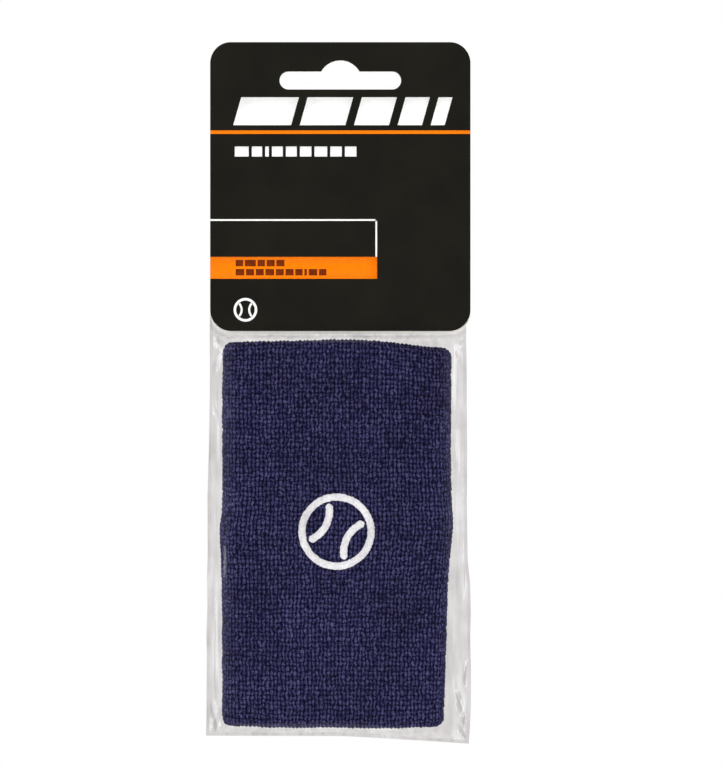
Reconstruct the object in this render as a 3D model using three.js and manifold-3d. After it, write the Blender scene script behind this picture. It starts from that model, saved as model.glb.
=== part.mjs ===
// A long terry sweat wristband in its retail pack: folded hang card, clear film pouch and the band.
//
// Millimetres, +Z up. The pack hangs on a peg: the origin is the top of the hang slot, where the peg
// bears, in the middle of the pack's thickness. The front of the pack faces -Y.
import * as THREE from "three";
import { mergeVertices } from "three/addons/utils/BufferGeometryUtils.js";
import Module from "manifold-3d";

const wasm = await Module();
wasm.setup();

// --- Driving dimensions -------------------------------------------------------------------------

// Hang card: one printed board, folded at the top, with a hang slot through both panels.
const boardThickness = 0.45;
const cardWidth = 85.6;
const cardHeight = 95.1;
const cardCorner = 7.0;
const cardTopAboveSlot = 6.1;
const rearPanelOverhang = 0.9; // the rear panel is cut this much longer than the front one
const slotWidth = 40.0;
const slotHeight = 5.9;
const domeRise = 3.65; // the slot's dome stands this much above its straight part
const domeRadius = 7.3;

// What lies between the two panels.
const neckThickness = 0.2; // both plies of the bag's neck
const neckHeight = 30.0;
const neckShoulder = 9.0; // above its foot, where the neck narrows so that the card hides it
const neckTaper = 4.0; // how much each side of the neck draws in from there to its top
const adhesiveThickness = 0.15;
const adhesiveWidth = 70.0;
const adhesiveHeight = 12.0;
const adhesiveDrop = 4.0; // from the neck's top edge to the adhesive
const panelClearance = 0.1; // the rear panel peels off, so it only rests on its adhesive

// Wristband: a knitted terry tube, folded double, with its two ends linked half way up the inside.
const bandWidth = 75.4;
const bandHeight = 126.5;
const bandThickness = 13.0;
const bandCentreX = -1.2;
const outerWall = 2.2;
const innerWall = 2.1;
const knitCavity = 1.4; // between the two walls, where the elastic rows lie
const linkSlit = 1.5; // between the two linked ends
const seamBulge = 0.8; // how far the linked ends push each side of the band out
const seamBulgeReach = 9.0;

// Inside the band.
const elasticRows = 14;
const elasticEndRoom = 6.05; // from the band's top and foot to the nearest row
const elasticDiameter = 0.6;
const linkThreadWidth = 1.5;
const linkThreadHeight = 0.9;
const backingWidth = 28.0;
const backingHeight = 30.0;
const backingThickness = 0.2;

// Embroidered ball motif on the front of the band.
const motifRadius = 12.5;
const motifRingWidth = 2.4;
const motifSeamWidth = 2.4;
const motifSeamCentre = 14.0; // each seam is an arc about a point this far from the ball's centre
const motifSeamRadius = 10.0;
const motifTilt = THREE.MathUtils.degToRad(28);
const motifThickness = 0.6;
const motifClearance = 0.2; // from the motif to the band
const motifGap = 0.6; // between the ring and the seams' ends

// Film pouch, welded round the band.
const pouchCentreX = -0.6;
const pouchHeadRoom = 2.2; // from the band to the pouch's edges, at the top, at the foot and at each side
const pouchFootRoom = 4.0;
const pouchSideRoom = 4.5;
const filmClearance = 1.15; // from the band's faces to the film
const filmThickness = 0.25;
const filmRise = 3.0; // width of the curved border where the film climbs from its edge to its face
const filmSplit = 0.1; // between the front and the rear ply
const weldWidth = 1.2;
const weldThickness = 0.3;
const flexGap = 0.4; // between the neck and the pouch, where the film bends
const flexBelowCard = 0.6; // from the rear panel's edge to the line the film bends about

// How finely round shapes are divided.
const cornerSegments = 8;
const tubeSegments = 24;
const motifSegments = 40;

// --- Places worked out from them ----------------------------------------------------------------

const cardTop = cardTopAboveSlot;
const cardBottom = cardTop - cardHeight;
const rearPanelBottom = cardBottom - rearPanelOverhang;
const slotTop = -domeRise;
const slotBottom = slotTop - slotHeight;

const neckFront = -neckThickness / 2;
const frontPanelInner = neckFront - adhesiveThickness;
const frontPanelOuter = frontPanelInner - boardThickness;
const rearPanelInner = neckThickness / 2 + adhesiveThickness + panelClearance;
const rearPanelOuter = rearPanelInner + boardThickness;
const creaseRadius = (rearPanelOuter - frontPanelOuter) / 2;
const creaseY = (rearPanelOuter + frontPanelOuter) / 2;
const creaseZ = cardTop - creaseRadius;
const rearPanelTop = creaseZ - panelClearance;

const pouchWidth = bandWidth + 2 * (seamBulge + pouchSideRoom);
const pouchHeight = bandHeight + pouchHeadRoom + pouchFootRoom;
const pouchThickness = bandThickness + 2 * (filmClearance + filmThickness);
const flexZ = rearPanelBottom - flexBelowCard;
const neckBottom = flexZ + flexGap / 2;
const neckTop = neckBottom + neckHeight;
const pouchTop = flexZ - flexGap / 2;
const pouchBottom = pouchTop - pouchHeight;

const bandTop = pouchTop - pouchHeadRoom;
const bandMiddle = bandTop - bandHeight / 2;
const bandHalf = bandThickness / 2;
const cavityOuter = bandHalf - outerWall;
const cavityInner = cavityOuter - knitCavity;
const gapHalf = cavityInner - innerWall;
const cavityClearance = (knitCavity - elasticDiameter - backingThickness) / 3; // wall, row, backing, wall
const elasticPitch = (bandHeight - 2 * elasticEndRoom) / (elasticRows - 1);

// --- Helpers --------------------------------------------------------------------------------------

const root = new THREE.Group();

function material(color, roughness, options = {}) {
  return new THREE.MeshStandardMaterial({ color, roughness, metalness: 0, ...options });
}

const finishes = {
  blackBoard: material(0x24211f, 0.55),
  clearFilm: material(0xe4e4e2, 0.15, { transparent: true, opacity: 0.3 }),
  adhesive: material(0xe8e2cc, 0.5, { transparent: true, opacity: 0.7 }),
  navyTerry: material(0x2a2a55, 0.95),
  navyThread: material(0x23234a, 0.8),
  elastic: material(0xd9d6cd, 0.7),
  backing: material(0xf1efe8, 0.9),
  whiteThread: material(0xf2f1f4, 0.6),
};

function add(parent, name, geometry, finish, position = [0, 0, 0]) {
  const mesh = new THREE.Mesh(geometry, finish);
  mesh.name = name;
  mesh.position.set(...position);
  parent.add(mesh);
  return mesh;
}

// A closed geometry as a manifold-3d solid, for cutting.
function solid(geometry) {
  const bare = geometry.index ? geometry.toNonIndexed() : geometry.clone();
  bare.deleteAttribute("normal");
  bare.deleteAttribute("uv");
  const merged = mergeVertices(bare, 1e-4);
  return new wasm.Manifold(
    new wasm.Mesh({
      numProp: 3,
      vertProperties: merged.attributes.position.array,
      triVerts: new Uint32Array(merged.index.array),
    }),
  );
}

// A manifold-3d solid back as a geometry.
function geometryOf(made) {
  const mesh = made.getMesh();
  const geometry = new THREE.BufferGeometry();
  geometry.setAttribute("position", new THREE.BufferAttribute(mesh.vertProperties, 3));
  geometry.setIndex(new THREE.BufferAttribute(mesh.triVerts, 1));
  return geometry;
}

// An upright plate: a shape drawn in X and Z, from one Y to another.
function plate(shape, fromY, toY, curveSegments = cornerSegments) {
  const geometry = new THREE.ExtrudeGeometry(shape, {
    depth: toY - fromY,
    bevelEnabled: false,
    curveSegments,
  });
  return geometry.rotateX(Math.PI / 2).translate(0, toY, 0);
}

function box(xs, ys, zs) {
  const size = [xs, ys, zs].map(([low, high]) => high - low);
  const middle = [xs, ys, zs].map(([low, high]) => (low + high) / 2);
  return new THREE.BoxGeometry(...size).translate(...middle);
}

// --- Hang card ------------------------------------------------------------------------------------

// The panel's outline: rounded corners, and cut flat along the crease at its top.
function panelShape(top, bottom) {
  const side = cardWidth / 2;
  const arcTop = cardTop - cardCorner;
  const arcBottom = bottom + cardCorner;
  const turn = Math.acos((top - arcTop) / cardCorner); // from straight up to the crease line
  const shape = new THREE.Shape();
  shape.absarc(side - cardCorner, arcTop, cardCorner, Math.PI / 2 - turn, 0, true);
  shape.absarc(side - cardCorner, arcBottom, cardCorner, 0, -Math.PI / 2, true);
  shape.absarc(cardCorner - side, arcBottom, cardCorner, -Math.PI / 2, -Math.PI, true);
  shape.absarc(cardCorner - side, arcTop, cardCorner, Math.PI, Math.PI / 2 + turn, true);
  shape.closePath();
  return shape;
}

// The hang slot: a straight slot with round ends and a dome over its middle, for a peg of any usual width.
function slotPath() {
  const end = slotHeight / 2;
  const endCentre = slotWidth / 2 - end;
  const middle = (slotTop + slotBottom) / 2;
  const domeCentre = -domeRadius;
  const domeTurn = Math.acos((slotTop - domeCentre) / domeRadius);
  const path = new THREE.Path();
  path.absarc(endCentre, middle, end, -Math.PI / 2, Math.PI / 2, false);
  path.absarc(0, domeCentre, domeRadius, Math.PI / 2 - domeTurn, Math.PI / 2 + domeTurn, false);
  path.absarc(-endCentre, middle, end, Math.PI / 2, (3 * Math.PI) / 2, false);
  path.closePath();
  return path;
}

function panel(top, bottom, fromY, toY) {
  const shape = panelShape(top, bottom);
  shape.holes.push(slotPath());
  return plate(shape, fromY, toY);
}

// The board where it turns over the top: half a tube, with its ends rounded like the panels' corners.
function crease() {
  const shape = new THREE.Shape();
  shape.absarc(0, 0, creaseRadius, 0, Math.PI, false);
  shape.absarc(0, 0, creaseRadius - boardThickness, Math.PI, 0, true);
  shape.closePath();
  const geometry = new THREE.ExtrudeGeometry(shape, {
    depth: cardWidth,
    bevelEnabled: false,
    curveSegments: cornerSegments,
  });
  geometry.rotateX(Math.PI / 2).rotateZ(Math.PI / 2).translate(-cardWidth / 2, creaseY, creaseZ);
  const outline = plate(panelShape(cardTop, cardBottom), frontPanelOuter, rearPanelOuter);
  return geometryOf(solid(geometry).intersect(solid(outline)));
}

function buildHangCard() {
  const card = new THREE.Group();
  const board = finishes.blackBoard;
  add(card, "card_front_panel", panel(creaseZ, cardBottom, frontPanelOuter, frontPanelInner), board);
  add(card, "card_crease", crease(), board);
  add(card, "card_rear_panel", panel(rearPanelTop, rearPanelBottom, rearPanelInner, rearPanelOuter), board);

  const sides = [-adhesiveWidth / 2, adhesiveWidth / 2];
  const adhesiveTop = neckTop - adhesiveDrop;
  const heights = [adhesiveTop - adhesiveHeight, adhesiveTop];
  add(card, "front_adhesive", box(sides, [frontPanelInner, neckFront], heights), finishes.adhesive);
  add(card, "rear_adhesive", box(sides, [-neckFront, -frontPanelInner], heights), finishes.adhesive);
  return card;
}

// --- Film pouch -----------------------------------------------------------------------------------

// A pillow over a rectangle: a flat front and rear, and borders that curve down to the middle plane.
function pillow(width, top, bottom, thickness, rise) {
  const rim = 2 * weldThickness;
  const shape = new THREE.Shape([
    new THREE.Vector2(-width / 2, bottom),
    new THREE.Vector2(width / 2, bottom),
    new THREE.Vector2(width / 2, top),
    new THREE.Vector2(-width / 2, top),
  ]);
  const geometry = new THREE.ExtrudeGeometry(shape, {
    depth: rim,
    bevelThickness: (thickness - rim) / 2,
    bevelSize: rise,
    bevelOffset: -rise,
    bevelSegments: 3,
  });
  return geometry.rotateX(Math.PI / 2).translate(0, rim / 2, 0);
}

// Both plies run up between the card's panels, where the adhesive holds them.
function neck() {
  const foot = pouchWidth / 2;
  const head = foot - neckTaper;
  const shape = new THREE.Shape([
    new THREE.Vector2(-foot, neckBottom),
    new THREE.Vector2(foot, neckBottom),
    new THREE.Vector2(foot, neckBottom + neckShoulder),
    new THREE.Vector2(head, neckTop),
    new THREE.Vector2(-head, neckTop),
    new THREE.Vector2(-foot, neckBottom + neckShoulder),
  ]);
  return plate(shape, neckFront, -neckFront);
}

function buildPouch() {
  const pouch = new THREE.Group();
  pouch.position.x = pouchCentreX;
  const film = finishes.clearFilm;
  const side = pouchWidth / 2 - weldWidth;
  const floor = pouchBottom + weldWidth;
  const wall = 1.5 * filmThickness;
  const outside = solid(pillow(2 * side, pouchTop, floor, pouchThickness, filmRise));
  const inside = solid(
    pillow(2 * (side - wall), pouchTop - wall, floor + wall, pouchThickness - 2 * filmThickness, filmRise),
  );
  const shell = outside.subtract(inside);
  const reach = [-pouchWidth, pouchWidth];
  const heights = [pouchBottom - weldWidth, pouchTop + weldWidth];
  const halves = {
    bag_front_film: [-filmSplit / 2, pouchThickness],
    bag_rear_film: [-pouchThickness, filmSplit / 2],
  };
  for (const [name, cutAway] of Object.entries(halves)) {
    add(pouch, name, geometryOf(shell.subtract(solid(box(reach, cutAway, heights)))), film);
  }

  // The plies are welded along both sides and the bottom.
  const weld = [-weldThickness / 2, weldThickness / 2];
  const sideHeights = [pouchBottom, pouchTop];
  const seat = side + filmSplit / 2;
  add(pouch, "bag_side_weld_left", box([-pouchWidth / 2, -seat], weld, sideHeights), film);
  add(pouch, "bag_side_weld_right", box([seat, pouchWidth / 2], weld, sideHeights), film);
  add(pouch, "bag_bottom_weld", box([-side, side], weld, [pouchBottom, floor - filmSplit / 2]), film);

  add(pouch, "bag_neck", neck(), film);
  return pouch;
}

// --- Wristband ------------------------------------------------------------------------------------

// Half the length of the band's straight part at a height: the linked ends widen it half way up.
function straightHalf(z) {
  const away = (z - bandMiddle) / seamBulgeReach;
  return bandWidth / 2 - bandHalf + seamBulge * Math.exp(-away * away);
}

// A tube pressed flat: a profile turned about Z, then parted into two ends with flat walls between them.
// The profile's first number is the distance from the band's middle plane, and its second the height.
function flattenedTube(profile) {
  const step = (2 * Math.PI) / tubeSegments;
  const flat = 1 / Math.cos(step / 2); // so that the flat walls lie at the profile's own distance
  const points = profile.map(([distance, z]) => new THREE.Vector2(distance * flat, z));
  const geometry = new THREE.LatheGeometry([...points, points[0]], tubeSegments, step / 2);
  geometry.rotateX(Math.PI / 2);
  const position = geometry.attributes.position;
  for (let i = 0; i < position.count; i++) {
    const shift = Math.sign(position.getX(i)) * straightHalf(position.getZ(i));
    position.setX(i, position.getX(i) + shift);
  }
  return geometry;
}

// Points of an arc in a profile, from one angle to another.
function arc(centre, z, radius, from, to, steps) {
  return Array.from({ length: steps + 1 }, (_, i) => {
    const angle = from + ((to - from) * i) / steps;
    return [centre + radius * Math.cos(angle), z + radius * Math.sin(angle)];
  });
}

// A straight wall of the knit, with enough points for the bulge half way up.
function wallPoints(distance, from, to) {
  const rows = [-2, -1.2, -0.6, 0, 0.6, 1.2, 2].map((share) => bandMiddle + share * seamBulgeReach);
  const inside = rows.filter((z) => (z - from) * (z - to) < 0);
  return (to > from ? inside : inside.reverse()).map((z) => [distance, z]);
}

// The knit's section on one side: up the outside, over the fold, and down the inside to the linked ends.
function knitProfile() {
  const foldRadius = (bandHalf - gapHalf) / 2;
  const foldCentre = gapHalf + foldRadius;
  const cavityRadius = knitCavity / 2;
  const cavityCentre = cavityInner + cavityRadius;
  const high = bandTop - foldRadius;
  const low = bandTop - bandHeight + foldRadius;
  const lipHigh = bandMiddle + linkSlit / 2;
  const lipLow = bandMiddle - linkSlit / 2;
  const half = Math.PI;
  return [
    ...wallPoints(bandHalf, low, high),
    ...arc(foldCentre, high, foldRadius, 0, half, 6),
    ...wallPoints(gapHalf, high, lipHigh),
    [gapHalf, lipHigh],
    [cavityInner, lipHigh],
    ...wallPoints(cavityInner, lipHigh, high),
    ...arc(cavityCentre, high, cavityRadius, half, 0, 4),
    ...wallPoints(cavityOuter, high, low),
    ...arc(cavityCentre, low, cavityRadius, 0, -half, 4),
    ...wallPoints(cavityInner, low, lipLow),
    [cavityInner, lipLow],
    [gapHalf, lipLow],
    ...wallPoints(gapHalf, lipLow, low),
    ...arc(foldCentre, low, foldRadius, -half, 0, 6),
  ];
}

function motifDisc(radius, x = 0, y = 0) {
  const shape = new THREE.Shape();
  shape.absarc(x, y, radius, 0, 2 * Math.PI, false);
  return shape;
}

function motifRing(outer, inner, x = 0) {
  const shape = motifDisc(outer, x);
  shape.holes.push(motifDisc(inner, x));
  return shape;
}

function addMotif(parent) {
  const back = -bandHalf - motifClearance;
  const depth = [back - motifThickness, back];
  const motif = new THREE.Group();
  motif.position.z = bandMiddle;
  motif.rotation.y = motifTilt;
  parent.add(motif);

  const ringInner = motifRadius - motifRingWidth;
  const ring = plate(motifRing(motifRadius, ringInner), ...depth, motifSegments);
  add(motif, "motif_ring", ring, finishes.whiteThread);

  const within = solid(plate(motifDisc(ringInner - motifGap), ...depth, motifSegments));
  for (const [name, way] of [["motif_seam_left", -1], ["motif_seam_right", 1]]) {
    const shape = motifRing(
      motifSeamRadius + motifSeamWidth / 2,
      motifSeamRadius - motifSeamWidth / 2,
      way * motifSeamCentre,
    );
    const seam = solid(plate(shape, ...depth, motifSegments)).intersect(within);
    add(motif, name, geometryOf(seam), finishes.whiteThread);
  }
}

function buildWristband() {
  const band = new THREE.Group();
  band.position.x = bandCentreX;
  add(band, "terry_tube", flattenedTube(knitProfile()), finishes.navyTerry);

  const linkCentre = (gapHalf + cavityInner) / 2;
  const linkSide = linkThreadWidth / 2;
  const linkProfile = arc(0, 0, 1, 0, 2 * Math.PI, 8)
    .slice(0, -1)
    .map(([a, b]) => [linkCentre + a * linkSide, bandMiddle + (b * linkThreadHeight) / 2]);
  add(band, "linking_thread", flattenedTube(linkProfile), finishes.navyThread);

  const elasticCentre = cavityInner + cavityClearance + elasticDiameter / 2;
  for (let i = 0; i < elasticRows; i++) {
    const z = bandTop - bandHeight + elasticEndRoom + i * elasticPitch;
    const profile = arc(elasticCentre, z, elasticDiameter / 2, 0, 2 * Math.PI, 6).slice(0, -1);
    const name = "elastic_row_" + String(i + 1).padStart(2, "0");
    add(band, name, flattenedTube(profile), finishes.elastic);
  }

  const backingFront = cavityClearance - cavityOuter;
  const backing = box(
    [-backingWidth / 2, backingWidth / 2],
    [backingFront, backingFront + backingThickness],
    [bandMiddle - backingHeight / 2, bandMiddle + backingHeight / 2],
  );
  add(band, "embroidery_backing", backing, finishes.backing);
  addMotif(band);
  return band;
}

root.add(buildHangCard(), buildPouch(), buildWristband());

export default root;
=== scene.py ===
# A long terry sweat wristband in its clear bag, under a folded hang card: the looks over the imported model.
import math

import bpy
import numpy as np
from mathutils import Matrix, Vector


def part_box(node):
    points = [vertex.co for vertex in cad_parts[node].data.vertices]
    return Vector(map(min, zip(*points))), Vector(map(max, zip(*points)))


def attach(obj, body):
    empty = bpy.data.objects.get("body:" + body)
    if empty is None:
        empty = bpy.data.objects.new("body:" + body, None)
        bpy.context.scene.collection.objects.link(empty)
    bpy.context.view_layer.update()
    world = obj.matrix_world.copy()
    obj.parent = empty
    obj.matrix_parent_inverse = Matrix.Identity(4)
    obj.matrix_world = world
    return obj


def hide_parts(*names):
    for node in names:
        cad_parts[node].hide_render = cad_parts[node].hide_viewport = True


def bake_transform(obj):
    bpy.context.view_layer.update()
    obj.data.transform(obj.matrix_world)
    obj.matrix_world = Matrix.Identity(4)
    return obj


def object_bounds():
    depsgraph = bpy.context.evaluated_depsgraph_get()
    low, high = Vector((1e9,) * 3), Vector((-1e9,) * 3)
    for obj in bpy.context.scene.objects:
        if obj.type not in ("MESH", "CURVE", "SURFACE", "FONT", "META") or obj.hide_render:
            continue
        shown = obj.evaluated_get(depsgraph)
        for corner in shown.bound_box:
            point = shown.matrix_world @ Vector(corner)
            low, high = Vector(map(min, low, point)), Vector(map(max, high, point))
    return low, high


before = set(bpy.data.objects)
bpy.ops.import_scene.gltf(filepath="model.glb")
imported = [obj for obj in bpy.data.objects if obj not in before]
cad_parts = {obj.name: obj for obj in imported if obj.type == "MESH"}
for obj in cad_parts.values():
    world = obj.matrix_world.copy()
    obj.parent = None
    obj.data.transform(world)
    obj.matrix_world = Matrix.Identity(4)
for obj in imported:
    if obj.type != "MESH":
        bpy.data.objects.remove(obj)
cadBox = [list(corner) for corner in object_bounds()]
mm = 0.001  # sizes below are in millimetres, and meshes in metres


def linearColour(hexCode):
    # an sRGB hex value as the linear numbers that shaders work in
    channels = np.array([int(hexCode[i:i + 2], 16) for i in (1, 3, 5)]) / 255
    linear = np.where(channels <= 0.04045, channels / 12.92, ((channels + 0.055) / 1.055) ** 2.4)
    return (*linear.tolist(), 1.0)


def addNode(tree, kind, settings=None, inputs=None):
    # One node. An input is a number, a hex colour, one of a node's outputs, or a node for its first output;
    # stops fill a colour ramp.
    node = tree.nodes.new(kind)
    for name, value in (settings or {}).items():
        if name == "stops":
            for place, colour in value[2:]:
                node.color_ramp.elements.new(place)
            for element, (place, colour) in zip(node.color_ramp.elements, sorted(value)):
                element.position = place
                element.color = linearColour(colour)
        else:
            setattr(node, name, value)
    for name, value in (inputs or {}).items():
        if isinstance(value, bpy.types.Node):
            value = value.outputs[0]
        if isinstance(value, bpy.types.NodeSocket):
            tree.links.new(value, node.inputs[name])
        else:
            node.inputs[name].default_value = linearColour(value) if isinstance(value, str) else value
    return node


def newMaterial(name):
    material = bpy.data.materials.new(name)
    material.use_nodes = True
    material.node_tree.nodes.clear()
    return material, material.node_tree


def cellScale(size):
    # a noise texture's scale for cells of a size in millimetres, in whole cells to the metre
    return round(1 / (size * mm))


def cadBoxOf(node):
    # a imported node's lowest and highest corner, in millimetres
    low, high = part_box(node)
    return np.array(low) / mm, np.array(high) / mm


def latticeNoise(x, y, seed, wrapX=0):
    # smooth noise from -1 to 1: random values on a unit grid, blended by the smooth step between corners
    repeat = 64  # cells before the values come again
    table = np.random.default_rng(seed).uniform(-1, 1, (repeat, repeat))
    cellX = np.floor(x).astype(int)
    cellY = np.floor(y).astype(int)
    shareX = x - cellX
    shareY = y - cellY
    shareX = shareX * shareX * (3 - 2 * shareX)
    shareY = shareY * shareY * (3 - 2 * shareY)
    nextX = cellX + 1
    if wrapX:
        cellX = cellX % wrapX
        nextX = nextX % wrapX
    cellX, nextX = cellX % repeat, nextX % repeat
    cellY, nextY = cellY % repeat, (cellY + 1) % repeat
    low = table[cellX, cellY] * (1 - shareX) + table[nextX, cellY] * shareX
    high = table[cellX, nextY] * (1 - shareX) + table[nextX, nextY] * shareX
    return low * (1 - shareY) + high * shareY


def smoothLine(points, at, softness):
    # a line through points, with its corners eased over the given distance
    places, values = np.array(sorted(points), float).T
    offsets = np.linspace(-softness, softness, 9)
    return np.mean([np.interp(at + offset, places, values) for offset in offsets], axis=0)


def gridOf(points, wrapU=False, wrapV=False, turned=False, capped=False):
    # a grid of points (u, v, xyz in mm): its faces, one in each cell, and a UV map that follows the grid
    return {"points": points, "wrapU": wrapU, "wrapV": wrapV, "turned": turned, "capped": capped}


def gridFaces(grid):
    # corner numbers and UVs of a grid's cells, and of its two end caps; a closed grid is turned to face out
    points = grid["points"]
    countU, countV = points.shape[:2]
    cellsU = countU if grid["wrapU"] else countU - 1
    cellsV = countV if grid["wrapV"] else countV - 1
    u, v = np.meshgrid(np.arange(cellsU), np.arange(cellsV), indexing="ij")
    cornerU = u.reshape(-1, 1) + np.array([0, 1, 1, 0])
    cornerV = v.reshape(-1, 1) + np.array([0, 0, 1, 1])
    corners = (cornerU % countU) * countV + cornerV % countV
    uvs = np.stack([cornerU / cellsU, cornerV / cellsV], axis=-1)
    turned = grid["turned"]
    if grid["wrapV"] and (grid["wrapU"] or grid["capped"]):
        flat = points.reshape(-1, 3) - points.reshape(-1, 3).mean(axis=0)
        a, b, c, d = (flat[corners[:, i]] for i in range(4))
        turned = np.sum(a * np.cross(b, c) + a * np.cross(c, d)) < 0
    way = -1 if turned else 1
    loops = corners[:, ::way].reshape(-1)
    loopUvs = uvs[:, ::way].reshape(-1, 2)
    sizes = np.full(len(corners), 4)
    if grid["capped"]:
        ring = np.arange(countV)
        first = ring[::way]
        last = ring[::-way] + (countU - 1) * countV
        loops = np.concatenate([loops, first, last])
        capUvs = np.stack([np.zeros(countV), ring / countV], axis=-1)
        loopUvs = np.concatenate([loopUvs, capUvs[::way], (capUvs + [1, 0])[::-way]])
        sizes = np.concatenate([sizes, [countV, countV]])
    return loops, loopUvs, sizes


def newPiece(name, *grids):
    # one mesh of all the grids given
    made = [gridFaces(grid) for grid in grids]
    counts = [grid["points"].reshape(-1, 3).shape[0] for grid in grids]
    starts = np.concatenate([[0], np.cumsum(counts)[:-1]])
    loops = np.concatenate([faces[0] + begin for faces, begin in zip(made, starts)])
    uvs = np.concatenate([faces[1] for faces in made])
    sizes = np.concatenate([faces[2] for faces in made])
    places = np.concatenate([grid["points"].reshape(-1, 3) for grid in grids])
    mesh = bpy.data.meshes.new(name)
    mesh.vertices.add(len(places))
    mesh.vertices.foreach_set("co", (places * mm).reshape(-1))
    mesh.loops.add(len(loops))
    mesh.loops.foreach_set("vertex_index", loops)
    mesh.polygons.add(len(sizes))
    mesh.polygons.foreach_set("loop_start", np.cumsum(sizes) - sizes)
    mesh.update(calc_edges=True)
    mesh.uv_layers.new(name="UVMap").data.foreach_set("uv", uvs.reshape(-1))
    mesh.polygons.foreach_set("use_smooth", sizes == 4)
    mesh.validate()
    piece = bpy.data.objects.new(name, mesh)
    bpy.context.collection.objects.link(piece)
    return piece


# The camera looks level, a little to the right of the pack's middle.
viewSettings = {
    "lens": 150,
    "sensor": 36,
    "height": 252.7,  # of what is in view, where the pack hangs
    "centre": (6.8, -106.4),
    "floorBelow": 1300,
    "floorHalf": 6000.0,
}
camera = bpy.data.cameras.new("camera")
camera.lens = viewSettings["lens"]
camera.sensor_width = viewSettings["sensor"]
cameraPlace = bpy.data.objects.new("camera", camera)
bpy.context.collection.objects.link(cameraPlace)
cameraAway = viewSettings["height"] * camera.lens / camera.sensor_width
cameraPlace.location = (viewSettings["centre"][0] * mm, -cameraAway * mm, viewSettings["centre"][1] * mm)
cameraPlace.rotation_euler = (math.pi / 2, 0, 0)
bpy.context.scene.camera = cameraPlace
bpy.context.scene.view_settings.view_transform = "Standard"

softLights = [
    # name, place in metres, width and height, watts, and whether the film mirrors it
    ("keyLight", (-0.9, -1.0, -0.22), (0.9, 0.9), 11.1, False),
    ("fillLight", (1.0, -0.9, -0.25), (0.8, 1.0), 8.6, False),
    ("leftStrip", (-0.8, 0.16, -0.15), (0.12, 0.5), 1.0, True),
    ("rightStrip", (0.8, 0.14, -0.15), (0.12, 0.5), 1.3, True),
    ("rearLight", (0.3, 1.0, 0.5), (0.9, 0.9), 5.5, False),
]
packMiddle = np.mean(cadBox, axis=0)
for name, place, size, power, mirrored in softLights:
    light = bpy.data.lights.new(name, "AREA")
    light.shape = "RECTANGLE"
    light.size, light.size_y = size
    light.energy = power
    lamp = bpy.data.objects.new(name, light)
    lamp.location = place
    towards = packMiddle - np.array(place)
    lamp.rotation_euler = (
        math.pi / 2 + math.atan2(towards[2], math.hypot(towards[0], towards[1])),
        0,
        math.atan2(-towards[0], towards[1]),
    )
    lamp.visible_glossy = mirrored
    bpy.context.collection.objects.link(lamp)

# A white studio behind the pack; what lights and mirrors in it is dimmer in front, as behind a camera.
studio = bpy.data.worlds.new("studio")
studio.use_nodes = True
sky = studio.node_tree
sky.nodes.clear()
direction = addNode(sky, "ShaderNodeTexCoord").outputs["Generated"]
directions = addNode(sky, "ShaderNodeSeparateXYZ", None, {"Vector": direction})
share = addNode(sky, "ShaderNodeMapRange", None, {
    "Value": directions.outputs["Y"], "From Min": -1.0, "From Max": 1.0,
})
surround = addNode(
    sky,
    "ShaderNodeValToRGB",
    {"stops": [(0.0, "#404042"), (0.3, "#7c7c7e"), (0.6, "#cccccc"), (1.0, "#d0d0d0")]},
    {"Fac": share},
)
overhead = addNode(sky, "ShaderNodeMapRange", {"interpolation_type": "SMOOTHSTEP"}, {
    "Value": directions.outputs["Z"], "From Min": 0.5, "From Max": 0.85,
})
lit = addNode(sky, "ShaderNodeMix", {"data_type": "RGBA"}, {
    0: overhead, 6: surround, 7: (1.45, 1.45, 1.45, 1),
})
seenDirectly = addNode(sky, "ShaderNodeLightPath").outputs["Is Camera Ray"]
seenColour = addNode(
    sky, "ShaderNodeMix", {"data_type": "RGBA"}, {0: seenDirectly, 6: lit.outputs[2], 7: "#ffffff"}
)
glow = addNode(sky, "ShaderNodeBackground", None, {"Color": seenColour.outputs[2], "Strength": 1.0})
addNode(sky, "ShaderNodeOutputWorld", None, {"Surface": glow})
bpy.context.scene.world = studio

floorMaterial, tree = newMaterial("paleVinylFloor")
# Pale sheet vinyl: almost even, with a faint cloudiness.
cloud = addNode(tree, "ShaderNodeTexNoise", None, {
    "Vector": addNode(tree, "ShaderNodeTexCoord").outputs["Object"], "Scale": cellScale(333), "Detail": 3.0,
})
floorTone = addNode(
    tree, "ShaderNodeValToRGB", {"stops": [(0.3, "#f0f0ef"), (0.7, "#f6f6f5")]}, {"Fac": cloud}
)
floorShader = addNode(tree, "ShaderNodeBsdfPrincipled", None, {"Base Color": floorTone, "Roughness": 0.6})
addNode(tree, "ShaderNodeOutputMaterial", None, {"Surface": floorShader})
floorSides = np.array([-viewSettings["floorHalf"], viewSettings["floorHalf"]])
floorX, floorY = np.meshgrid(floorSides, floorSides, indexing="ij")
floorZ = np.full((2, 2), -viewSettings["floorBelow"])
floor = newPiece("floor", gridOf(np.stack([floorX, floorY, floorZ], axis=-1)))
floor.data.materials.append(floorMaterial)
print("camera, light and floor are in")


card = {
    "black": ("#191814", "#1e1d18"),
    "core": ("#e0ddd6", "#f4f2ee"),
    "printRoughness": 0.5,
    "fibre": 0.35,  # of the board's surface
    "inkHeight": 0.03,
    "faceDepth": 0.08,  # how deep under its faces the board still counts as printed
    "hair": 0.02,  # a distance too small to see
    "corner": 7.0,  # radius of its rounded corners
    "foldSamples": 17,
}
frontLow, frontHigh = cadBoxOf("card_front_panel")
rearLow, rearHigh = cadBoxOf("card_rear_panel")
creaseLow, creaseHigh = cadBoxOf("card_crease")
boardThickness = frontHigh[1] - frontLow[1]
cardMiddle = (frontLow[1] + rearHigh[1]) / 2
cardHalf = (rearHigh[1] - frontLow[1]) / 2


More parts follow.
